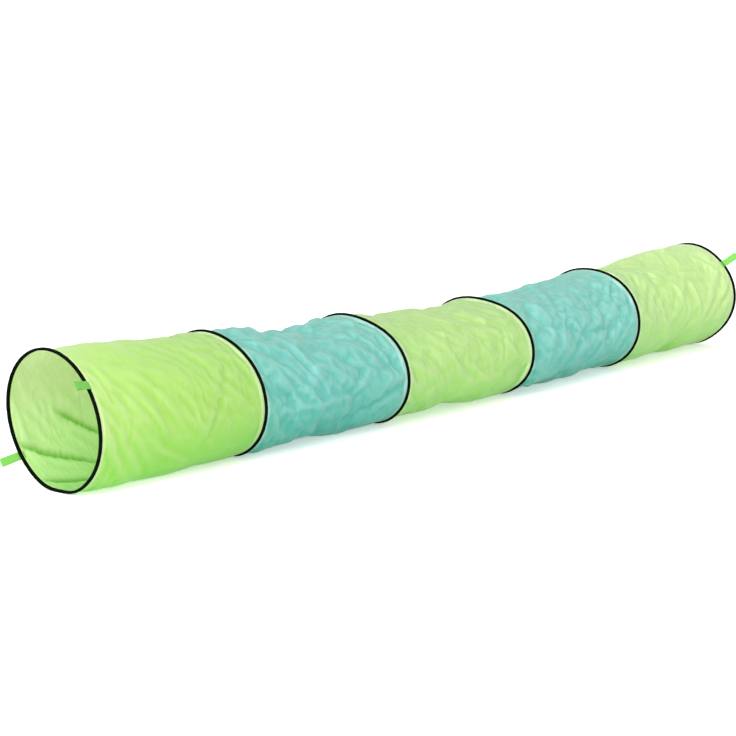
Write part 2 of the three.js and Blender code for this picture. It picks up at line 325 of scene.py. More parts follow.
def fold_relief(share, degrees, lines, broad):
    """Long soft folds, each a ridge with a shallow valley down one side."""
    height = np.zeros_like(share)
    for share0, degrees0, share1, degrees1, fold_height, fold_width in lines:
        run_x, run_y = (share1 - share0) * SPAN, (degrees1 - degrees0) * ROUND
        x, y = (share - share0) * SPAN, apart(degrees, degrees0) * ROUND
        square = run_x * run_x + run_y * run_y
        t = (x * run_x + y * run_y) / square
        near = np.clip(t, 0, 1)
        side = (x * run_y - y * run_x) / math.sqrt(square)
        beyond = np.hypot(x - near * run_x, y - near * run_y)
        fade = np.exp(-((np.maximum(np.abs(t - 0.5) - 0.25, 0) / 0.2) ** 2))
        width = fold_width * broad / 1000
        past_end = (t - near) * math.sqrt(square) / width
        valley = np.exp(-(((side - 1.9 * width) / (1.3 * width)) ** 2) - past_end ** 2)
        ridge = np.exp(-((beyond / width) ** 1.5)) - 0.45 * valley
        height += fold_height / 1000 * fade * ridge
    return height


def swell_relief(share, degrees, spots):
    """Broad swells and hollows."""
    height = np.zeros_like(share)
    for share0, degrees0, rise, half_length, half_round, turn in spots:
        x, y = (share - share0) * SPAN * 1000, apart(degrees, degrees0) * ROUND * 1000
        cos, sin = math.cos(math.radians(turn)), math.sin(math.radians(turn))
        height += rise / 1000 * np.exp(-(((x * cos + y * sin) / half_length) ** 2)
                                       - ((y * cos - x * sin) / half_round) ** 2)
    return height


def envelope(rows, columns, size, slope, rng):
    """Lowest of many shallow tilted bowls: smooth patches of this size that meet in creases."""
    tall = 360 * ROUND
    x = EDGE + (SPAN - 2 * EDGE) * np.arange(rows) / (rows - 1)
    unset = 1.0  # higher than any bowl
    height = np.full((rows, columns), unset)
    count = int((SPAN + 2 * size) * tall / size**2)
    middle_x = rng.random(count) * (SPAN + 2 * size) - size
    middle_y = rng.random(count) * tall
    turn, lie = rng.random(count) * TAU, rng.random(count) * math.pi
    tilt = slope * np.sqrt(rng.random(count))
    lift = rng.random(count) * 0.5 * slope * size
    reach = 2.4 * size
    for i in range(count):
        first, last = np.searchsorted(x, (middle_x[i] - reach, middle_x[i] + reach))
        if last <= first:
            continue
        column = np.arange(int((middle_y[i] - reach) / tall * columns),
                           int((middle_y[i] + reach) / tall * columns) + 1)
        dx = x[first:last, None] - middle_x[i]
        dy = (column / columns * tall)[None] - middle_y[i]
        long = dx * math.cos(lie[i]) + dy * math.sin(lie[i])
        short = dy * math.cos(lie[i]) - dx * math.sin(lie[i])
        bowl = (slope / size * (0.75 * long * long + 1.7 * short * short)
                + tilt[i] * (long * math.cos(turn[i]) + short * math.sin(turn[i])) + lift[i])
        column = column % columns
        height[first:last, column] = np.minimum(height[first:last, column], bowl)
    height[height > 0.9] = 0
    return height


def facets(rows, columns, size, slope, seed):
    """Crumpled-cloth relief, in metres: flattish patches with creases both ways between them."""
    rng = np.random.default_rng(seed)
    height = (envelope(rows, columns, size, slope, rng)
              - envelope(rows, columns, 1.3 * size, slope, rng))
    return height - height.mean()


def pleats(share, degrees, seed, reach, height):
    """Short gathers that run out from both hoops."""
    rng = np.random.default_rng(seed)
    relief = np.zeros_like(share)
    count = 34
    for from_hoop in (share * SPAN, (1 - share) * SPAN):
        place = np.sort(rng.random(count) * 360)
        size = rng.random(count) ** 2
        skew = (rng.random(count) - 0.5) * 260
        length = reach * (0.5 + rng.random(count))
        for i in range(count):
            off = apart(degrees, place[i] + skew[i] * from_hoop) * ROUND
            relief += (height * size[i] * np.exp(-((off / 0.010) ** 2))
                       * np.exp(-((from_hoop / length[i]) ** 2)) * ease(from_hoop, 0.008, 0.03))
    return relief


def side_relief(spec, share, degrees):
    """How the top and the underside stand out or in along the cover."""
    stations = np.linspace(0, 1, 11)
    top, under = (np.interp(share, stations, (0,) + tuple(spec[key]) + (0,)) / 1000
                  for key in ("top", "under"))
    return (top * np.exp(-((apart(degrees, 70) / 42) ** 2))
            + under * np.exp(-((apart(degrees, 248) / 36) ** 2)))


# ------------------------------------------------------------------ cloth covers: relaxing
def relax(points, rest_round, rest_along, steps, rounds, gravity, bend):
    """Position-based cloth on a tube of points[row, column]: the end rows stay put."""
    row_count, column_count, _ = points.shape
    free = np.ones((row_count, 1, 1))
    free[0] = free[-1] = 0.0
    rows, columns = np.arange(row_count - 2), np.arange(column_count)
    inner, every = slice(1, -1), slice(None)
    bend_round = rest_round + np.roll(rest_round, -1, 1)
    bend_along = rest_along[:-1] + rest_along[1:]
    diagonal = np.sqrt(((rest_round[:-1] + rest_round[1:]) / 2) ** 2
                       + ((rest_along + np.roll(rest_along, -1, 1)) / 2) ** 2)

    def pull(first, second, rest, stiffness, push_only=False):
        """Brings two sets of points, each (rows, columns), towards their rest distance."""
        free1, free2 = free[first[0]], free[second[0]]
        gap = points[second] - points[first]
        length = np.sqrt((gap * gap).sum(-1, keepdims=True)) + 1e-12
        error = (length - rest[..., None]) / length
        if push_only:
            error = np.minimum(error, 0)
        gap *= error * (stiffness / np.maximum(free1 + free2, 1))
        points[first] += gap * free1
        points[second] -= gap * free2

    def pull_diagonals(start):
        upper, lower = slice(start, row_count - 1, 2), slice(start + 1, row_count, 2)
        for shift in (1, -1):
            gap = np.roll(points[lower], -shift, 1) - points[upper]
            length = np.sqrt((gap * gap).sum(-1, keepdims=True)) + 1e-12
            rest = diagonal[start::2] if shift == 1 else np.roll(diagonal[start::2], 1, 1)
            gap *= (0.35 * (length - rest[..., None]) / length
                    / np.maximum(free[upper] + free[lower], 1))
            points[upper] += gap * free[upper]
            points[lower] -= np.roll(gap, shift, 1) * free[lower]

    previous = points.copy()
    for _ in range(steps):
        velocity = (points - previous) * DAMPING
        previous[...] = points
        points += free * velocity
        points[..., 2] -= free[..., 0] * gravity
        for turn in range(rounds):
            for start in (0, 1):
                picked = columns[start::2]
                pull((inner, picked), (inner, (picked + 1) % column_count),
                     rest_round[1:-1, picked], 1.0)
            for start in (0, 1):
                pull((slice(start, row_count - 1, 2), every),
                     (slice(start + 1, row_count, 2), every), rest_along[start::2], 1.0)
            for start in (0, 1):
                pull_diagonals(start)
            if bend and turn % 2 == 0:
                for base in (0, 2):
                    picked = columns[(columns % 4 == base) | (columns % 4 == base + 1)]
                    pull((inner, picked), (inner, (picked + 2) % column_count),
                         bend_round[1:-1, picked], bend, True)
                for base in (0, 2):
                    picked = rows[(rows % 4 == base) | (rows % 4 == base + 1)]
                    pull((picked, every), (picked + 2, every), bend_along[picked], bend, True)
            points[..., 2] += np.maximum(FLOOR - points[..., 2], 0) * free[..., 0]
    return points


def refine(points):
    """Twice as many rows and columns, on a smooth surface through the old ones."""
    rows, columns, _ = points.shape
    wide = np.zeros((rows, 2 * columns, 3))
    wide[:, ::2] = points
    wide[:, 1::2] = (9 * (points + np.roll(points, -1, 1)) - np.roll(points, 1, 1)
                     - np.roll(points, -2, 1)) / 16
    fine = np.zeros((2 * rows - 1, 2 * columns, 3))
    fine[::2] = wide
    before = np.concatenate([2 * wide[:1] - wide[1:2], wide[:-2]])
    after = np.concatenate([wide[2:], 2 * wide[-1:] - wide[-2:-1]])
    fine[1::2] = (9 * (wide[:-1] + wide[1:]) - before - after) / 16
    return fine


def tube_between(k, rows, columns, starts):
    """Straight-sided tube of cover k: points, outward normals, share along, degrees round."""
    x = EDGE + (SPAN - 2 * EDGE) * np.arange(rows) / (rows - 1)
    turn = np.arange(columns) / columns
    near, far = hoops[k], hoops[k + 1]
    near_run, far_run = turn * near.length + starts[0], turn * far.length + starts[1]
    near_line, near_normal = near.at(near_run, COVER_OUT)
    far_line, far_normal = far.at(far_run, COVER_OUT)
    t = (x / SPAN)[:, None, None]
    points, normals = np.zeros((rows, columns, 3)), np.zeros((rows, columns, 3))
    points[..., 0] = hoop_x[k] + x[:, None]
    points[..., 1:] = near_line[None] * (1 - t) + far_line[None] * t
    normals[..., 1:] = unit(near_normal[None] * (1 - t) + far_normal[None] * t)
    near_deg, far_deg = near.degrees(near_run), far.degrees(far_run)
    degrees = np.mod(near_deg[None] + apart(far_deg, near_deg)[None] * t[..., 0], 360)
    share = np.broadcast_to(x[:, None] / SPAN, (rows, columns)).copy()
    return points, normals, share, degrees


def column_starts(k):
    """Arc lengths at which the columns of cover k start, at the ground, with least twist."""
    near, far = hoops[k], hoops[k + 1]
    turn = np.arange(90) / 90

    def twist(offset):
        near_line = near.at(turn * near.length + near.arc(270))[0]
        far_line = far.at(turn * far.length + far.arc(270) + offset)[0]
        return ((near_line - far_line) ** 2).sum()

    offset = min(np.linspace(-0.15, 0.15, 61), key=twist)
    return near.arc(270), far.arc(270) + offset


def rest_lengths(points, spare):
    round_ = np.linalg.norm(np.roll(points, -1, 1) - points, axis=-1)
    along = np.linalg.norm(points[1:] - points[:-1], axis=-1)
    round_ = (round_ + np.roll(round_, 1, 0) + np.roll(round_, -1, 0)) / 3
    return round_ * (1 + spare), along * (1 + spare)


def cloth_tube(k, starts):
    """Middle surface of cover k as points[row, column]."""
    spec = COVERS[k]
    rows, columns = ROWS, COLUMNS
    for level, (size, steps, rounds, gravity, bend, spare) in enumerate(PASSES):
        base, normals, share, degrees = tube_between(k, rows, columns, starts)
        held = ease(share, 0.0, 0.07) * ease(1 - share, 0.0, 0.07)
        relief = held * facets(rows, columns, size, spec["crumple"][level],
                               100 * spec["seed"] + level)
        relief = relief * (1 - 0.65 * np.exp(-((apart(degrees, 258) / 34) ** 2)))
        if level == 0:
            points = base
            relief = (relief + side_relief(spec, share, degrees)
                      + held * swell_relief(share, degrees, spec["swells"]))
        if level == 1:
            relief = (relief + held * fold_relief(share, degrees, spec["folds"], broad=1.15)
                      + pleats(share, degrees, spec["seed"], reach=0.06, height=spec["gather"]))
        if level == 2:
            relief = relief + held * fold_relief(share, degrees, spec["folds"], broad=0.75) * 0.45
        points = points + normals * relief[..., None]
        points[..., 2] = np.maximum(points[..., 2], FLOOR)
        rest_round, rest_along = rest_lengths(points, spare)
        points = relax(points, rest_round, rest_along, steps, rounds, gravity, bend)
        if level < len(PASSES) - 1:
            points = refine(points)
            points[..., 2] = np.maximum(points[..., 2], FLOOR)
            rows, columns = points.shape[:2]
    return points


# ------------------------------------------------------------------ materials
def srgb(*color):
    """Linear RGBA from 0-255 sRGB."""
    return tuple((c / 255 / 12.92) if c <= 10.3 else ((c / 255 + 0.055) / 1.055) ** 2.4
                 for c in color) + (1.0,)


class Nodes:
    """Short hand for building a node tree."""

    def __init__(self, tree):
        self.tree = tree

    def put(self, socket, value):
        if isinstance(value, bpy.types.NodeSocket):
            self.tree.links.new(value, socket)
        else:
            socket.default_value = value

    def add(self, kind, props=None, **inputs):
        node = self.tree.nodes.new(kind)
        for key, value in (props or {}).items():
            setattr(node, key, value)
        for key, value in inputs.items():
            self.put(node.inputs[key.replace("_", " ")], value)
        return node

    def fill(self, kind, values, props=None):
        """A node whose inputs are filled by number."""
        node = self.add(kind, props)
        for i, value in values.items():
            self.put(node.inputs[i], value)
        return node

    def math(self, operation, *values):
        values = values if len(values) > 1 else values + (0.0,)
        props = {"operation": operation}
        return self.fill("ShaderNodeMath", dict(enumerate(values)), props).outputs[0]

    def times(self, value, by):
        return self.math("MULTIPLY", value, by)

    def plus(self, value, mask, amount):
        """The value, raised by this amount where the mask is 1."""
        return self.math("ADD", value, self.times(mask, amount))

    def mix(self, share, one, two):
        props = {"data_type": "RGBA", "blend_type": "MIX"}
        return self.fill("ShaderNodeMix", {0: share, 6: one, 7: two}, props).outputs[2]

    def tint(self, color, towards, mask, share):
        """The colour, moved this share towards another where the mask is 1."""
        return self.mix(self.times(mask, share), color, towards)

    def noise(self, vector, scale, detail=2.0, rough=0.5):
        return self.add("ShaderNodeTexNoise", Vector=vector, Scale=scale, Detail=detail,
                        Roughness=rough).outputs[0]

    def bump(self, height, strength, distance=1.0):
        return self.add("ShaderNodeBump", Strength=strength, Distance=distance,
                        Height=height).outputs[0]

    def principled(self, **inputs):
        return self.add("ShaderNodeBsdfPrincipled", **inputs).outputs[0]

    def camera_ray(self):
        return self.add("ShaderNodeLightPath").outputs["Is Camera Ray"]


class Material(Nodes):
    """The node tree of a new material."""

    def __init__(self, name):
        self.material = bpy.data.materials.new(name)
        self.material.use_nodes = True
        super().__init__(self.material.node_tree)
        self.tree.nodes.clear()
        self.output = self.add("ShaderNodeOutputMaterial")

    def cloth_uv(self):
        """The cloth UV map, and its two parts, in metres."""
        uv = self.add("ShaderNodeUVMap", {"uv_map": "cloth"}).outputs[0]
        parts = self.add("ShaderNodeSeparateXYZ", Vector=uv)
        return uv, parts.outputs[0], parts.outputs[1]

    def done(self, shader):
        self.put(self.output.inputs["Surface"], shader)
        return self.material


def cloth_material(name, base, pale, deep, inside_tone, through, hem, full):
    """Thin woven polyester taffeta: plain weave with slubs, satin sheen, light shining through.

    The inside is given a paler colour. Ridges are painted paler as painted highlight and valleys
    deeper as painted shade.
    """
    m = Material(name)
    uv, u, v = m.cloth_uv()

    def value(key):
        return m.add("ShaderNodeAttribute", {"attribute_name": key}).outputs["Fac"]

    def stretched(scale, turn=0.0):
        return m.add("ShaderNodeMapping", Vector=uv, Rotation=(0.0, 0.0, turn),
                     Scale=scale).outputs[0]

    # plain weave, a thread every 0.5 mm both ways
    thread = math.pi / 0.0005
    weave = m.math("MULTIPLY", m.math("SINE", m.times(u, by=thread)),
                   m.math("SINE", m.times(v, by=thread)))
    slub = m.math("ADD", m.noise(stretched(scale=(9.0, 420.0, 1.0)), scale=1.0),
                  m.noise(stretched(scale=(420.0, 9.0, 1.0)), scale=1.0))
    cloud = m.noise(uv, scale=7.0, detail=3.0, rough=0.55)
    creased = m.noise(uv, scale=30.0, detail=4.0, rough=0.6)
    fine = m.noise(uv, scale=120.0, detail=3.0, rough=0.6)
    # thin sharp creases left by folding it away: where this noise crosses its middle value
    bent = m.noise(stretched(scale=(7.0, 16.0, 1.0), turn=0.5), scale=1.0, rough=0.45)
    middle, sharpness = 0.5, 0.75
    sharp = m.math("POWER", m.math("ABSOLUTE", m.math("SUBTRACT", bent, middle)), sharpness)
    ridge = value("ridge")
    up = m.math("MAXIMUM", ridge, 0.0)
    down = m.math("MAXIMUM", m.times(ridge, by=-1.0), 0.0)
    color = m.tint(base, pale, cloud, share=0.3)
    color = m.tint(color, deep, slub, share=0.08)
    # painted light: ridges are tinted pale as painted highlight, valleys deep as painted shade
    ridge_narrowing = 1.6
    color = m.tint(color, pale, m.math("POWER", up, ridge_narrowing), share=0.4)
    color = m.tint(color, deep, down, share=0.15)
    # painted light: the top is painted paler as painted sheen from the light above, and the
    # underside deeper as painted shade
    facing = value("facing")
    under_limit = 0.1  # cloth that faces up less than this counts as underside
    below = m.math("MAXIMUM", m.math("SUBTRACT", under_limit, facing), 0.0)
    under = m.times(below, by=0.62)
    color = m.tint(color, pale, m.math("MAXIMUM", facing, 0.0), share=0.22)
    color = m.mix(under, color, full)
    # the inside is given a paler colour; it is tinted towards base in its valleys and towards deep
    # along the folds by the first mouth, both painted shade
    lining = m.tint(inside_tone, base, down, share=0.1)
    lining = m.tint(lining, deep, value("fold_shade"), share=0.85)
    color = m.mix(value("inside"), color, lining)
    single = m.math("GREATER_THAN", value("edge_m"), HEM_WIDTH)
    doubled_hem_and_fold_shade = m.math("SUBTRACT", 1.0, single)
    color = m.tint(color, hem, doubled_hem_and_fold_shade, share=0.7)
    # light through the cloth carries painted shade too: in valleys, in the folds by the first
    # mouth and on the underside
    lit = m.tint(through, hem, doubled_hem_and_fold_shade, share=0.6)
    lit = m.tint(lit, base, down, share=0.15)
    lit = m.tint(lit, deep, value("fold_shade"), share=0.85)
    lit = m.tint(lit, full, under, share=0.9)
    relief = m.plus(m.times(weave, by=0.00003), creased, amount=0.0011)
    relief = m.plus(relief, fine, amount=0.0003)
    relief = m.math("SUBTRACT", relief, m.times(sharp, by=0.0080))
    relief = m.plus(relief, doubled_hem_and_fold_shade, amount=0.0005)
    bump = m.bump(relief, strength=0.75)
    front = m.principled(Base_Color=color, Roughness=m.plus(0.31, slub, amount=0.06), Normal=bump,
                         Specular_IOR_Level=0.7, Sheen_Weight=0.9, Sheen_Roughness=0.35,
                         Sheen_Tint=(1.0, 1.0, 1.0, 1.0))
    back = m.add("ShaderNodeBsdfTranslucent", Color=lit, Normal=bump).outputs[0]
    # share of light that comes through: less at the hems, more seen from inside
    through_share = 0.54
    passed = m.math("SUBTRACT", through_share, m.times(doubled_hem_and_fold_shade, by=0.12))
    passed = m.plus(passed, value("inside"), amount=0.22)
    return m.done(m.fill("ShaderNodeMixShader", {0: passed, 1: front, 2: back}).outputs[0])


def tape_material(name, base, pale, rib, weave=0.0006, rough=0.8, fuzz=0.3, rib_height=0.0002,
                  gloss=0.2):
    """Woven tape: ribs across its run, diagonal threads, faint fuzz and worn high spots."""
    m = Material(name)
    base, pale = srgb(*base), srgb(*pale)
    uv, run, side = m.cloth_uv()
    ribs = m.math("ABSOLUTE", m.math("SINE", m.times(run, by=math.pi / rib)))
    thread = m.math("SINE", m.plus(m.times(side, by=TAU / weave), run,
                                   amount=TAU / (3.7 * weave)))
    hair = m.noise(uv, scale=900.0)
    worn = m.noise(uv, scale=17.0, detail=4.0, rough=0.6)
    color = m.tint(base, pale, ribs, share=0.4)
    color = m.tint(color, pale, worn, share=0.3)
    relief = m.plus(m.times(ribs, by=rib_height), thread, amount=0.00005)
    relief = m.plus(relief, hair, amount=0.0001)
    return m.done(m.principled(Base_Color=color, Roughness=rough,
                               Normal=m.bump(relief, strength=0.8), Specular_IOR_Level=gloss,
                               Sheen_Weight=fuzz, Sheen_Roughness=0.5, Sheen_Tint=pale))


def metal_material(name, base, dark, rough):
    m = Material(name)
    place = m.add("ShaderNodeTexCoord").outputs["Object"]
    fine = m.noise(place, scale=260.0, detail=4.0)
    broad = m.noise(place, scale=30.0, detail=3.0)
    bump = m.bump(fine, strength=0.3, distance=0.0004)
    return m.done(m.principled(Base_Color=m.mix(broad, srgb(*base), srgb(*dark)), Metallic=1.0,
                               Roughness=m.plus(rough, fine, amount=0.2), Normal=bump))


HEM_WIDTH = 0.030  # the cloth is doubled up to here from its end
PALE_LIGHT = (0.93, 0.98, 0.86, 1.0)  # pale colour that each cover's palette moves towards as painted light; a negative share moves it away as painted shade
# in each palette the last colour is painted shade for cloth that faces down
GREEN = dict(base=(172, 220, 106), pale=(216, 240, 178), deep=(146, 206, 62),
             inside_tone=(252, 254, 232), through=(246, 253, 222), hem=(240, 251, 208),
             full=(136, 228, 52))
TEAL = dict(base=(112, 206, 200), pale=(194, 232, 230), deep=(44, 178, 170),
            inside_tone=(206, 238, 234), through=(198, 242, 238), hem=(212, 243, 238),
            full=(20, 196, 178))


# moves a colour towards the pale colour by this share, as painted light and painted shade
def shifted_for_light(color, share):
    return tuple(max(0.0, c * (1 - share) + w * share) for c, w in zip(color, PALE_LIGHT))


def cloth_lit_per_cover(name, palette, light_share):
    return cloth_material(name, **{key: shifted_for_light(srgb(*c), light_share) for key, c in palette.items()})


# one fabric: each cover's colours are made paler or deeper as painted light and painted shade
cover_cloths = [
    cloth_lit_per_cover("lime_green_cloth_1", GREEN, light_share=-0.12),
    cloth_lit_per_cover("teal_cloth_2", TEAL, light_share=0.0),
    cloth_lit_per_cover("lime_green_cloth_3", GREEN, light_share=0.07),
    cloth_lit_per_cover("teal_cloth_4", TEAL, light_share=0.03),
    cloth_lit_per_cover("lime_green_cloth_5", GREEN, light_share=0.14),
]
black = tape_material("black_binding_tape", base=(2, 10, 4), pale=(10, 20, 12), rib=0.0012,
                      fuzz=0.0, rough=0.9, gloss=0.04)
webbing = tape_material("green_webbing", base=(96, 176, 66), pale=(140, 204, 104), rib=0.0017,
                        weave=0.0011, rough=0.62, rib_height=0.00035)
thread_black = tape_material("black_thread", base=(20, 30, 24), pale=(44, 56, 48), rib=0.0005,
                             rough=0.6)
thread_green = tape_material("green_thread", base=(150, 214, 92), pale=(190, 232, 140),
                             rib=0.0005, rough=0.55)
thread_teal = tape_material("teal_thread", base=(90, 190, 176), pale=(140, 214, 204),
                            rib=0.0005, rough=0.55)
steel = metal_material("spring_steel", base=(132, 138, 144), dark=(70, 74, 80), rough=0.3)
crimp = metal_material("crimped_tube", base=(176, 180, 184), dark=(120, 124, 130), rough=0.35)

for name, obj in frame["nodes"].items():
    if "wire" in name or "ferrule" in name:
        obj.data.materials.clear()
        obj.data.materials.append(steel if "wire" in name else crimp)


# ------------------------------------------------------------------ sewing threads
STITCH_SIDES = 5
STITCH_RINGS = ((-0.5, 0.35), (-0.3, 1.0), (0.3, 1.0), (0.5, 0.35))  # shares of length, radius


def stitch_mesh(centres, along, out, length, radius):
    """Short rounded threads, one small closed body at each centre, in arrays."""
    along = unit(np.broadcast_to(along, centres.shape))
    out = unit(np.broadcast_to(out, centres.shape))
    side = np.cross(along, out)
    ring = [(math.cos(t), math.sin(t)) for t in np.arange(STITCH_SIDES) / STITCH_SIDES * TAU]
    local = np.array([(place * length, cos * radius * size, sin * radius * size)
                      for place, size in STITCH_RINGS for cos, sin in ring])
    verts = (centres[:, None] + along[:, None] * local[None, :, :1]
             + side[:, None] * local[None, :, 1:2] + out[:, None] * local[None, :, 2:3])
    body = []
    for i in range(len(STITCH_RINGS) - 1):
        for j in range(STITCH_SIDES):
            here, beside = i * STITCH_SIDES + j, i * STITCH_SIDES + (j + 1) % STITCH_SIDES
            above = beside + STITCH_SIDES
            body += [(here, beside, above), (here, above, here + STITCH_SIDES)]
    body += [(0, 2, 1), (0, 3, 2), (0, 4, 3), (15, 16, 17), (15, 17, 18), (15, 18, 19)]
    body, _ = outward(verts[0] - verts[0].mean(0), np.array(body))
    faces = body[None] + (np.arange(len(centres)) * len(local))[:, None, None]
    return verts.reshape(-1, 3), faces.reshape(-1, 3)


def stitch_object(name, rows, material, slot):
    """One object from rows of stitches: (centres, along, out, length, radius)."""
    verts, faces, base = [], [], 0
    for row in rows:
        row_verts, row_faces = stitch_mesh(*row)
        verts.append(row_verts)
        faces.append(row_faces + base)
        base += len(row_verts)
    verts, faces = np.concatenate(verts), np.concatenate(faces)
    obj = make_object(name, verts, faces, material, uv=np.zeros((len(faces) * 3, 2)))
    return obj


# ------------------------------------------------------------------ covers
CLOTH = 0.0004  # thickness
# inside the fold of the binding: distance from the hoop's middle plane, and outward
HEM_PROFILE = ((0.0014, -0.0027), (0.0014, -0.0044), (0.0019, -0.0053), (0.0036, COVER_OUT),
               (0.0064, COVER_OUT))
HEM_ROWS = len(HEM_PROFILE)
HEM_STITCH_AT = 0.0275  # from the cloth's end
HEM_STITCHES = 372
RIDGE_FULL = 0.0010  # bulge that counts as a full ridge

SEAM_DEGREES = -8  # from the first column, which is at the ground
SEAM_ACROSS = np.array([-0.0056, -0.0052, -0.0026, 0.0, 0.0026, 0.0052, 0.0056])
SEAM_LIFT = np.array([0.00028, 0.0008, 0.00095, 0.00095, 0.00095, 0.0008, 0.00028])
SEAM_UNDER = 0.00022  # height of the seam's lower face above the middle of the cloth
SEAM_ROWS = 150
SEAM_STITCHES = 250
SEAM_STITCH_OFF = 0.0040


def soften_round(values):
    return (2 * values + np.roll(values, 1, 1) + np.roll(values, -1, 1)) / 4


class Cover:
    """One cover's middle surface with its hems, from which its pieces are made."""

    def __init__(self, k):
        self.k = k
        self.name = f"cover_{k + 1}"
        self.cloth = cover_cloths[k]
        self.slot = "cover_teal" if k % 2 else "cover_green"
        self.thread = thread_teal if k % 2 else thread_green
        self.starts = column_starts(k)
        tube = cloth_tube(k, self.starts)
        self.tube_rows, self.columns, _ = tube.shape
        self.middle = np.concatenate([self.hem(0, 1), tube, self.hem(1, -1)[::-1]])
        self.normals = self.surface_normals()
        gaps = np.linalg.norm(np.diff(self.middle, axis=0), axis=-1).mean(1)
        self.along = np.concatenate([[0], np.cumsum(gaps)])
        self.column_width = 360 * ROUND / self.columns

    def hem(self, end, direction):
        """Rows that carry the cloth from inside the fold of the binding to its held edge."""
        hoop = hoops[self.k + end]
        run = np.arange(self.columns) / self.columns * hoop.length + self.starts[end]
        rows = np.zeros((HEM_ROWS, self.columns, 3))
        for row, (dx, out) in zip(rows, HEM_PROFILE):
            row[:, 0] = hoop_x[self.k + end] + direction * dx
            row[:, 1:] = hoop.at(run, out)[0]
        return rows

    def surface_normals(self):
        points = self.middle
        normals = unit(np.cross(np.roll(points, -1, 1) - np.roll(points, 1, 1),
                                np.gradient(points, axis=0)))
        centre = np.array([0, points[..., 1].mean(), 0.27])
        outside = ((points - centre) * normals)[..., 1:].sum() > 0
        return normals if outside else -normals

    def at(self, rows, columns):
        """Points and normals of the cloth at fractional rows and columns."""
        row = np.clip(np.floor(rows).astype(int), 0, len(self.middle) - 2)
        column = np.floor(columns).astype(int)
        down, over = (rows - row)[..., None], (columns - column)[..., None]
        beside, column = (column + 1) % self.columns, column % self.columns

        def pick(grid):
            return (grid[row, column] * (1 - down) * (1 - over)
                    + grid[row + 1, column] * down * (1 - over)
                    + grid[row, beside] * (1 - down) * over + grid[row + 1, beside] * down * over)

        return pick(self.middle), unit(pick(self.normals))

    def ridges(self):
        """How far each point bulges from its neighbours, -1 to 1."""
        points = self.middle
        around = (np.roll(points, 2, 1) + np.roll(points, -2, 1)) / 2
        ends = np.concatenate([points[:2], (points[:-4] + points[4:]) / 2, points[-2:]])
        high = ((2 * points - around - ends) * self.normals).sum(-1)
        for _ in range(3):
            high = soften_round(high)
            high[1:-1] = (2 * high[1:-1] + high[2:] + high[:-2]) / 4
        high[:8] = high[-8:] = 0
        return np.clip(high / RIDGE_FULL, -1, 1)

    def fold_shade(self):
        """Painted shade in the lining along the folds by the first mouth, 0 to 1."""
        doubled_hem_and_fold_shade = np.zeros(self.middle.shape[:2])
        if self.k == 0:
            _, _, share, degrees = tube_between(0, self.tube_rows, self.columns, self.starts)
            tube = doubled_hem_and_fold_shade[HEM_ROWS:-HEM_ROWS]
            for fold in MOUTH_FOLDS:
                relief = fold_relief(share, degrees, [fold], broad=1.0)
                tube[...] = np.maximum(tube, relief / (fold[4] / 1000))
        return np.clip(doubled_hem_and_fold_shade, 0, 1)

    def cloth_object(self):
        offset = self.normals * CLOTH / 2
        grid = np.concatenate([self.middle + offset, (self.middle - offset)[::-1]])
        verts = grid.reshape(-1, 3)
        along = np.concatenate([self.along, self.along[::-1], self.along[:1]])
        faces, uv = quad_grid(grid, np.arange(self.columns + 1) * self.column_width, along)
        faces, uv = outward(verts, faces, uv)
        edge = np.minimum(self.along, self.along[-1] - self.along)
        ridge = self.ridges()
        none = np.zeros_like(ridge)
        facing = self.normals[..., 2]
        for _ in range(6):
            facing = soften_round(facing)
        # ridge and facing drive the painted highlight, painted sheen and painted shade of the
        # cloth colour
        attributes = {
            "edge_m": np.repeat(np.concatenate([edge, edge[::-1]]), self.columns),
            "ridge": np.concatenate([ridge, -ridge[::-1]]),
            "inside": np.concatenate([none, none + 1]),
            "facing": np.concatenate([facing, none]),
            "fold_shade": np.concatenate([none, self.fold_shade()[::-1]]),
        }
        obj = make_object(f"{self.name}_cloth", verts, faces, self.cloth, uv=uv,
                          attributes=attributes)
        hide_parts(f"cover_panel_{self.k + 1}")
        return obj

    def seam_column(self):
        return SEAM_DEGREES / 360 * self.columns

    def seam_rows(self, inset, count):
        return np.linspace(HEM_ROWS - 1 + inset, len(self.middle) - HEM_ROWS - inset, count)

    def seam_object(self):
        """Lengthwise felled seam along the underside."""
        rows = self.seam_rows(0, SEAM_ROWS)
        across = SEAM_ACROSS / self.column_width
        points, normals = self.at(np.repeat(rows[:, None], len(across), 1),
                                  self.seam_column() + np.repeat(across[None], SEAM_ROWS, 0))
        top = points + normals * SEAM_LIFT[None, :, None]
        low = points + normals * SEAM_UNDER
        ring = np.concatenate([top, low[:, ::-1]], 1)
        run = np.interp(rows, np.arange(len(self.along)), self.along)
        off = np.concatenate([SEAM_ACROSS, SEAM_ACROSS[::-1], SEAM_ACROSS[:1]])
        faces, uv = capped_strip(ring, off, run)
        # the seam is tinted as a small ridge (painted highlight) facing down (painted shade)
        values = {"edge_m": 0.1, "ridge": 0.3, "inside": 0.0, "facing": -0.8, "fold_shade": 0.0}
        verts = ring.reshape(-1, 3)
        attributes = {key: np.full(len(verts), value) for key, value in values.items()}
        obj = make_object(f"{self.name}_felled_seam", verts, faces, self.cloth, uv=uv,
                          attributes=attributes)
        return obj

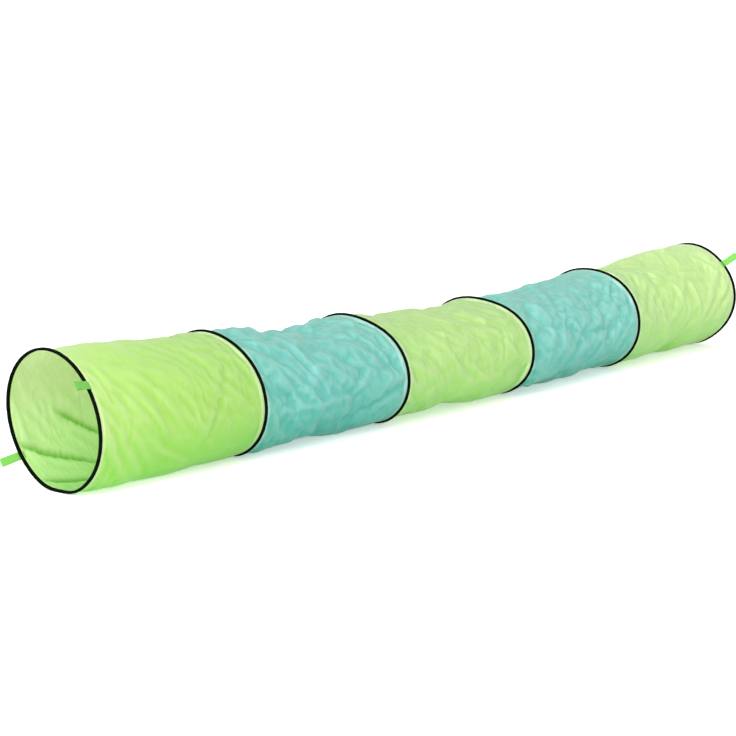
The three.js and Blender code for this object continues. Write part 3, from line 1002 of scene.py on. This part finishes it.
    def stitches(self):
        """A row of hem stitches beside each hoop, and two rows along the felled seam."""
        parts = []
        for run in (HEM_STITCH_AT, self.along[-1] - HEM_STITCH_AT):
            row = float(np.interp(run, self.along, np.arange(len(self.along))))
            rows = np.full(HEM_STITCHES, row)
            columns = (np.arange(HEM_STITCHES) + 0.5) / HEM_STITCHES * self.columns
            points, normals = self.at(rows, columns)
            ahead, _ = self.at(rows, columns + 0.25)
            parts.append((points + normals * 0.0003, ahead - points, normals, 0.0036, 0.00028))
        rows = self.seam_rows(1, SEAM_STITCHES)
        for off in (-SEAM_STITCH_OFF, SEAM_STITCH_OFF):
            columns = np.full(SEAM_STITCHES, self.seam_column() + off / self.column_width)
            points, normals = self.at(rows, columns)
            ahead, _ = self.at(rows + 0.2, columns)
            parts.append((points + normals * 0.0011, ahead - points, normals, 0.0028, 0.00026))
        return stitch_object(f"{self.name}_stitches", parts, self.thread, self.slot)

    def build(self):
        for obj in [self.cloth_object(), self.seam_object(), self.stitches()]:
            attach(obj, f"hoop_{self.k + 1}")
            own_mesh(obj)


for k in range(len(COVERS)):
    Cover(k).build()


# ------------------------------------------------------------------ bindings
# Sections are (along X, outward) in mm from the binding's middle line.
def mirrored(points):
    return [(-x, out) for x, out in points[::-1]]


# folded tape sewn flat on both sides of the wire, swelling over it in the middle
OUTER_SIDE = [(-7.0, -4.9), (-7.0, -3.9), (-6.85, -2.4), (-6.75, -0.8), (-6.6, 0.8), (-6.3, 2.2),
              (-5.7, 3.4), (-4.8, 4.3), (-3.7, 4.8), (-2.5, 4.95), (-1.2, 5.0)]
INNER_SIDE = [(3.0, -4.9), (3.0, 0.8), (2.75, 2.0), (2.1, 3.0), (1.1, 3.5)]
OUTER_POINTS = 2 * len(OUTER_SIDE) + 1
BINDING = np.array(OUTER_SIDE + [(0.0, 5.0)] + mirrored(OUTER_SIDE)
                   + INNER_SIDE + [(0.0, 3.6)] + mirrored(INNER_SIDE)) / 1000
# the inside leaf of the tape at a mouth, under the cloth
LEAF = np.array([(-6.9, -5.05), (-6.9, -6.9), (-6.5, -7.25), (-2.0, -7.4), (5.0, -7.4),
                 (7.4, -7.3), (7.8, -6.95), (7.7, -6.5), (5.0, -6.45), (-2.0, -6.45),
                 (-4.6, -6.3), (-5.0, -5.9), (-5.0, -5.05)]) / 1000
# the narrow tape that closes the seam inside every other hoop
SEAM_TAPE = np.array([(-6.6, -6.5), (-6.7, -6.85), (-6.3, -7.15), (-3.0, -7.25), (0.0, -7.3),
                      (3.0, -7.25), (6.3, -7.15), (6.7, -6.85), (6.6, -6.5), (3.0, -6.45),
                      (0.0, -6.45), (-3.0, -6.45)]) / 1000
HOOP_STEPS = 420  # also the number of stitches in a row


def sweep_hoop(name, i, section, wandering=0, seed=0):
    """A closed section carried round hoop i; its first few points wander a little."""
    hoop = hoops[i]
    run = np.arange(HOOP_STEPS) / HOOP_STEPS * hoop.length
    angle = run / hoop.length * TAU
    phase = np.random.default_rng(seed).random(6) * TAU
    wander_out = (0.00016 * np.sin(37 * angle + phase[0]) + 0.0001 * np.sin(83 * angle + phase[1])
                  - 0.0002)
    wander_x = 0.00020 * np.sin(29 * angle + phase[2]) + 0.00012 * np.sin(71 * angle + phase[3])
    rows = np.zeros((len(section), HOOP_STEPS, 3))
    for c, (x, out) in enumerate(section):
        share = 1.0 if c < wandering else 0.0
        rows[c, :, 0] = hoop_x[i] + x + wander_x * share * (1 if abs(x) < 0.0065 else 0.5)
        rows[c, :, 1:] = hoop.at(run, out + wander_out * share)[0]
    closed = np.vstack([section, section[:1]])
    along = np.concatenate([[0], np.cumsum(np.linalg.norm(np.diff(closed, axis=0), axis=1))])
    verts = rows.reshape(-1, 3)
    verts[:, 2] = np.maximum(verts[:, 2], 0.0)
    across = np.arange(HOOP_STEPS + 1) * (hoop.length / HOOP_STEPS)
    faces, uv = outward(verts, *quad_grid(rows, across, along))
    return make_object(name, verts, faces, black, uv=uv)


def binding_stitches(i):
    """A row of stitches down each side of the binding."""
    hoop = hoops[i]
    run = (np.arange(HOOP_STEPS) + 0.5) / HOOP_STEPS * hoop.length
    points, normals = hoop.at(run, -0.0031)
    ahead, _ = hoop.at(run + 0.002, -0.0031)

    def spatial(x, flat):
        return np.column_stack([np.full(HOOP_STEPS, x), flat])

    parts = [(spatial(hoop_x[i] + x, points), spatial(0.0, ahead - points),
              spatial(6.0 * np.sign(x), normals), 0.0031, 0.00034) for x in (-0.00675, 0.00675)]
    return stitch_object(f"hoop_{i + 1}_binding_stitches", parts, thread_black, "binding_tape")


for i in range(len(hoops)):
    tape = sweep_hoop(f"hoop_{i + 1}_binding_tape", i, BINDING, OUTER_POINTS, seed=100 + i)
    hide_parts(f"hoop_binding_{i + 1}")
    inside = {0: LEAF, 5: LEAF * (-1, 1)}.get(i, SEAM_TAPE)
    leaf = sweep_hoop(f"hoop_{i + 1}_inside_leaf", i, inside)
    for obj in (tape, leaf, binding_stitches(i)):
        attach(obj, f"hoop_{i + 1}")


# ------------------------------------------------------------------ tie loops
LOOP_WIDTH = 0.038
TILT = {"loop_front_right": 10, "loop_front_left": 25, "loop_rear_right": 50, "loop_rear_left": 10}
TAPE = 0.0012  # webbing thickness
LAYER_OFF = 0.0007  # middle of each of the two layers, from the loop's middle
# (outward along X, sideways) from the swing's place: the sewn tab, then half of the loop
TAB = [(-0.0275, -0.0122), (-0.0215, -0.0122), (-0.0178, -0.0114), (-0.0152, -0.0086),
       (-0.0132, -0.0050), (-0.0112, -0.0026), (-0.0088, -0.0020), (-0.0060, -0.0019),
       (-0.0028, -0.0010)]
LOOP = [(0.0025, 0.0007), (0.010, 0.0007), (0.022, 0.0009), (0.036, 0.0019), (0.050, 0.0030),
        (0.064, 0.0037), (0.074, 0.0035), (0.0795, 0.0026), (0.0822, 0.0012), (0.0827, 0.0)]
# across the webbing: rounded selvedges a little thicker than the middle
WIDTHS = np.array([-1, -0.985, -0.94, -0.86, -0.5, 0, 0.5, 0.86, 0.94, 0.985, 1]) * LOOP_WIDTH / 2
THICK = np.array([0.2, 0.75, 1.08, 1.0, 0.96, 0.96, 0.96, 1.0, 1.08, 0.75, 0.2]) * TAPE / 2
TAB_STITCH_RADIUS = 0.00036


class LoopFrame:
    """Axes of a tie loop: outward along X, sideways, and across the webbing."""

    def __init__(self, joint):
        self.origin = np.array(joint["pos_m"], float)
        self.out = np.array([math.copysign(1.0, self.origin[0]), 0, 0])
        self.width = -unit(np.array(joint["axis"], float))
        self.side = np.cross(self.width, self.out)

    def vector(self, *parts):
        x, y, z = (np.asarray(part, float)[..., None] for part in parts)
        return x * self.out + y * self.side + z * self.width

    def at(self, *parts):
        return self.origin + self.vector(*parts)


def resample(points, count, smooth=4):
    """Evenly spaced, smoothed points on a flat line, their normals, tangents and arc lengths."""
    points = np.array(points)
    gaps = np.linalg.norm(np.diff(points, axis=0), axis=1)
    run = np.concatenate([[0], np.cumsum(gaps)])
    even = np.linspace(0, run[-1], count)
    line = np.stack([np.interp(even, run, points[:, k]) for k in (0, 1)], 1)
    for _ in range(smooth):
        line[1:-1] = (line[:-2] + 2 * line[1:-1] + line[2:]) / 4
    tangents = unit(np.gradient(line, axis=0))
    normals = np.stack([-tangents[:, 1], tangents[:, 0]], 1)
    return line, normals, tangents, even


def shifted(points, y_shift):
    return [(x, y + y_shift) for x, y in points]


def loop_webbing(body, loop):
    tilt = math.radians(TILT[body])
    cos, sin = math.cos(tilt), math.sin(tilt)
    ring = LOOP + [(x, -y) for x, y in LOOP[:-1]][::-1]
    path = (shifted(TAB, LAYER_OFF) + [(x * cos - y * sin, x * sin + y * cos) for x, y in ring]
            + shifted(TAB[::-1], -LAYER_OFF))
    line, normals, _, run = resample(path, 190)
    faces_of_tape = []
    for side in (1, -1):
        face = []
        for width, thick in zip(WIDTHS, THICK):
            x, y = (line + normals * side * thick).T
            curl = 0.0006 * (width / LOOP_WIDTH * 2) ** 2 * np.clip(line[:, 0] / 0.05, 0, 1)
            face.append(loop.at(x, y + curl, width))
        faces_of_tape.append(np.array(face))
    top, low = faces_of_tape
    grid = np.concatenate([top, low[::-1]])
    faces, uv = capped_strip(grid, run, np.concatenate([WIDTHS, WIDTHS[::-1], WIDTHS[:1]]))
    return make_object(f"{body}_webbing", grid.reshape(-1, 3), faces, webbing, uv=uv)


def tab_stitches(body, loop):
    """Rows of stitches across the sewn tab, and two down its sides."""
    line, normals, tangents, _ = resample(shifted(TAB, LAYER_OFF), 60, 3)

    def on_tab(x):
        i = np.abs(line[:, 0] - np.asarray(x)[..., None]).argmin(-1)
        return line[i] + normals[i] * TAPE / 2, normals[i], tangents[i]

    parts = []
    widths = np.arange(-0.0155, 0.0156, 0.0031)
    for x in (-0.0260, -0.0195, -0.0070):
        place, normal, _ = on_tab(x)
        parts.append((loop.at(*place, widths), loop.width, loop.vector(*normal, 0),
                      0.0025, TAB_STITCH_RADIUS))
    place, normal, tangent = on_tab(np.arange(-0.0250, -0.0202, 0.0024))
    for width in (-0.0170, 0.0170):
        parts.append((loop.at(*place.T, width), loop.vector(*tangent.T, 0),
                      loop.vector(*normal.T, 0), 0.0020, TAB_STITCH_RADIUS))
    return stitch_object(f"{body}_tab_stitches", parts, thread_green, "loop_webbing")


for joint in JOINTS:
    if not joint["name"].endswith("_swing"):
        continue
    body, parent = joint["child"], joint["parent"]
    loop = LoopFrame(joint)
    obj = loop_webbing(body, loop)
    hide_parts("tie_" + body)
    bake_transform(obj)
    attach(tab_stitches(body, loop), parent)


# ------------------------------------------------------------------ stage, light, camera
FLOOR_HALF = 400
FLOOR_Z = -0.0005
FLOOR_GLOW = 0.42  # plain white glow that only the camera sees


def floor_material():
    m = Material("pale_floor")
    shader = m.principled(Base_Color=(0.9, 0.9, 0.9, 1.0), Roughness=0.95,
                          Specular_IOR_Level=0.05)
    glow = m.add("ShaderNodeEmission", Color=(1.0, 1.0, 1.0, 1.0),
                 Strength=m.times(m.camera_ray(), by=FLOOR_GLOW)).outputs[0]
    return m.done(m.fill("ShaderNodeAddShader", {0: shader, 1: glow}).outputs[0])


floor_corners = [(x * FLOOR_HALF, y * FLOOR_HALF, FLOOR_Z)
                 for x, y in ((-1, -1), (1, -1), (1, 1), (-1, 1))]
floor = make_object("floor", np.array(floor_corners, float), np.array([[0, 1, 2, 3]]),
                    floor_material(), smooth=False)

# a very large soft light from above, at -X and -Y, in a dimmer white room
SOFT_FROM = Vector((-0.74, -0.36, 0.57)).normalized()
SOFT_FOCUS = 2.0  # power of the cosine from its middle
SOFT, AMBIENT = 2.1, 0.5
SEEN_WHITE = 1.25  # least brightness of the room as the camera sees it

scene = bpy.context.scene
world = bpy.data.worlds.new("studio")
scene.world = world
world.use_nodes = True
room = Nodes(world.node_tree)
look = room.add("ShaderNodeTexCoord").outputs["Generated"]
cosine = room.fill("ShaderNodeVectorMath", {0: look, 1: SOFT_FROM},
                   {"operation": "DOT_PRODUCT"}).outputs["Value"]
spread = room.math("POWER", room.math("MAXIMUM", cosine, 0.0), SOFT_FOCUS)
light = room.math("MULTIPLY_ADD", spread, SOFT, AMBIENT)
seen = room.times(room.camera_ray(), by=SEEN_WHITE)
background = world.node_tree.nodes["Background"]
room.put(background.inputs[1], room.math("MAXIMUM", light, seen))
background.inputs[0].default_value = (1.0, 1.0, 1.0, 1.0)

SUN_TOWARDS = (0.82, 0.20, -0.54)
sun = bpy.data.lights.new("key", "SUN")
sun.energy = 0.9
sun.angle = math.radians(12)
key = bpy.data.objects.new("key", sun)
key.rotation_euler = Vector(SUN_TOWARDS).to_track_quat("-Z", "Y").to_euler()
scene.collection.objects.link(key)

YAW, PITCH = 0.69177, -0.17554  # radians
camera_data = bpy.data.cameras.new("camera")
camera_data.sensor_width = 36
camera_data.lens = 118.510924
camera_data.clip_end = 2000
camera = bpy.data.objects.new("camera", camera_data)
scene.collection.objects.link(camera)
camera.location = (-9.39297, -7.43695, 2.31697)
forward = Vector((math.cos(PITCH) * math.cos(YAW), math.cos(PITCH) * math.sin(YAW),
                  math.sin(PITCH)))
camera.rotation_euler = forward.to_track_quat("-Z", "Y").to_euler()
scene.camera = camera

scene.view_settings.view_transform = "Standard"
